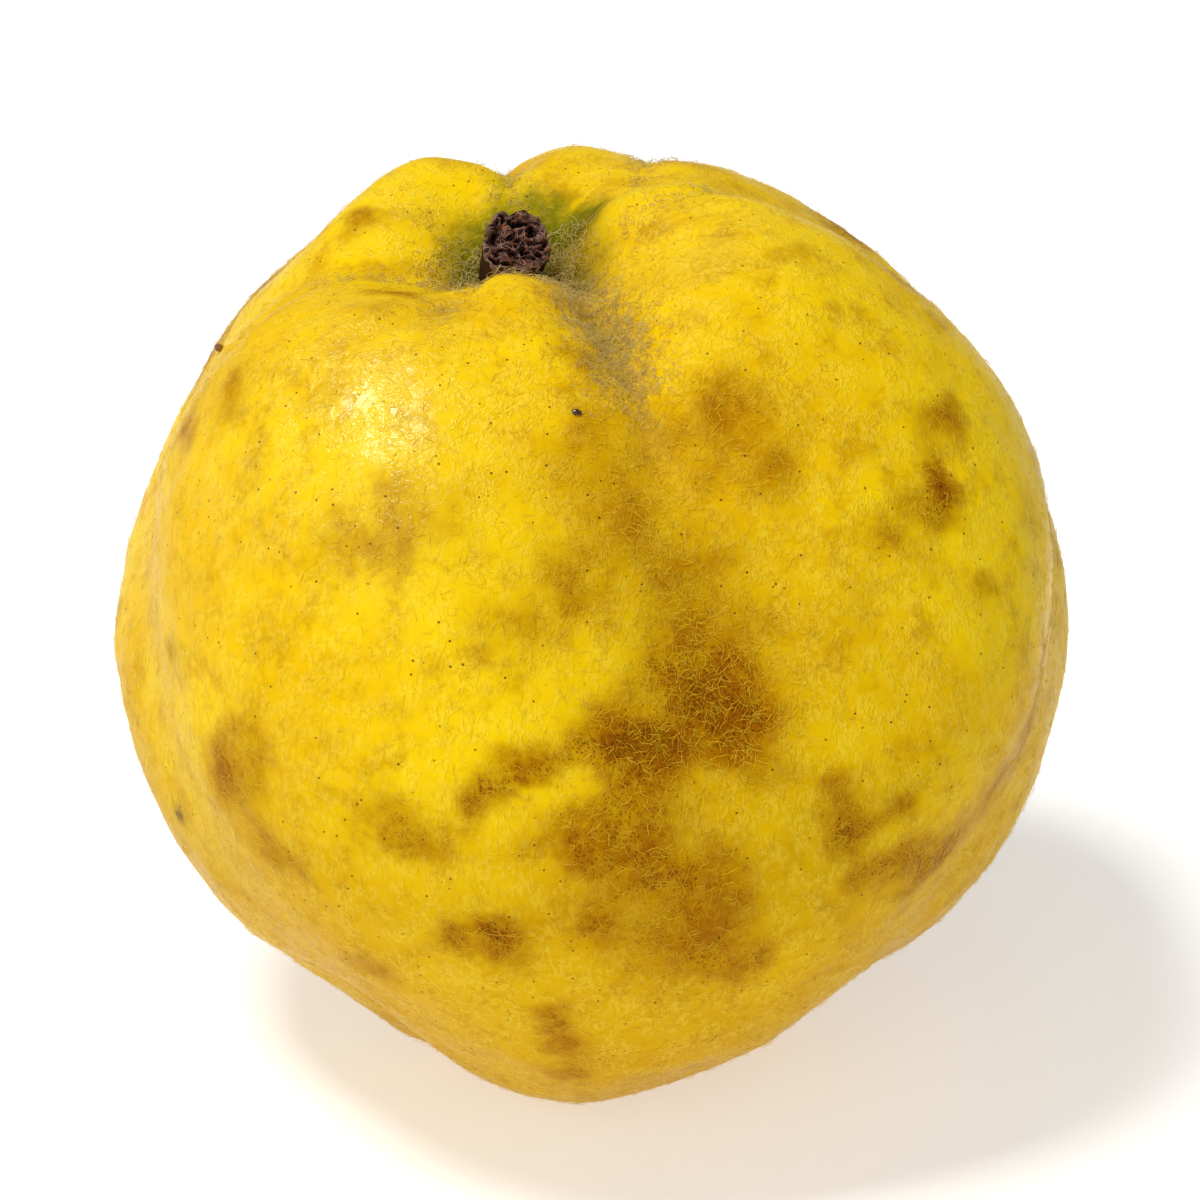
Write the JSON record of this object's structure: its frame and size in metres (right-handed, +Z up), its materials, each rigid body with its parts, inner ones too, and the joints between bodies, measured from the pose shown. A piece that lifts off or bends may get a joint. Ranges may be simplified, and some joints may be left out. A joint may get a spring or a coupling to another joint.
{
  "type": "quince",
  "caption": "Ripe golden quince, lumpy and ribbed, with a woolly stalk pit, the torn stub of its stalk and a dried calyx underneath. It stands on its blossom end.",
  "frame": {"origin": "centre of the box's bottom face, on the surface that the fruit stands on", "axes": "+Z up from the standing surface towards the stalk end, -Y towards the front, +X to the front's right"},
  "size_m": [0.0938, 0.0888, 0.0854],
  "materials": {
    "skin": "waxy satin golden-yellow skin with fine wrinkles, brown russet patches, dark lenticel dots and green at the stalk",
    "torn_wood": "torn, fibrous, dark red-brown wood with a pale ragged rim",
    "dried_calyx": "dry, matte, papery brown with darker veins and edges",
    "dried_stamens": "dry, matte, dark brown filaments",
    "down": "pale grey-tan curly down, matte"
  },
  "bodies": {
    "root": {"fruit": "skin", "stem_stub": "torn_wood", "sepal_1": "dried_calyx", "sepal_2": "dried_calyx", "sepal_3": "dried_calyx", "sepal_4": "dried_calyx", "sepal_5": "dried_calyx", "stamen_tuft": "dried_stamens"}
  },
  "joints": []
}
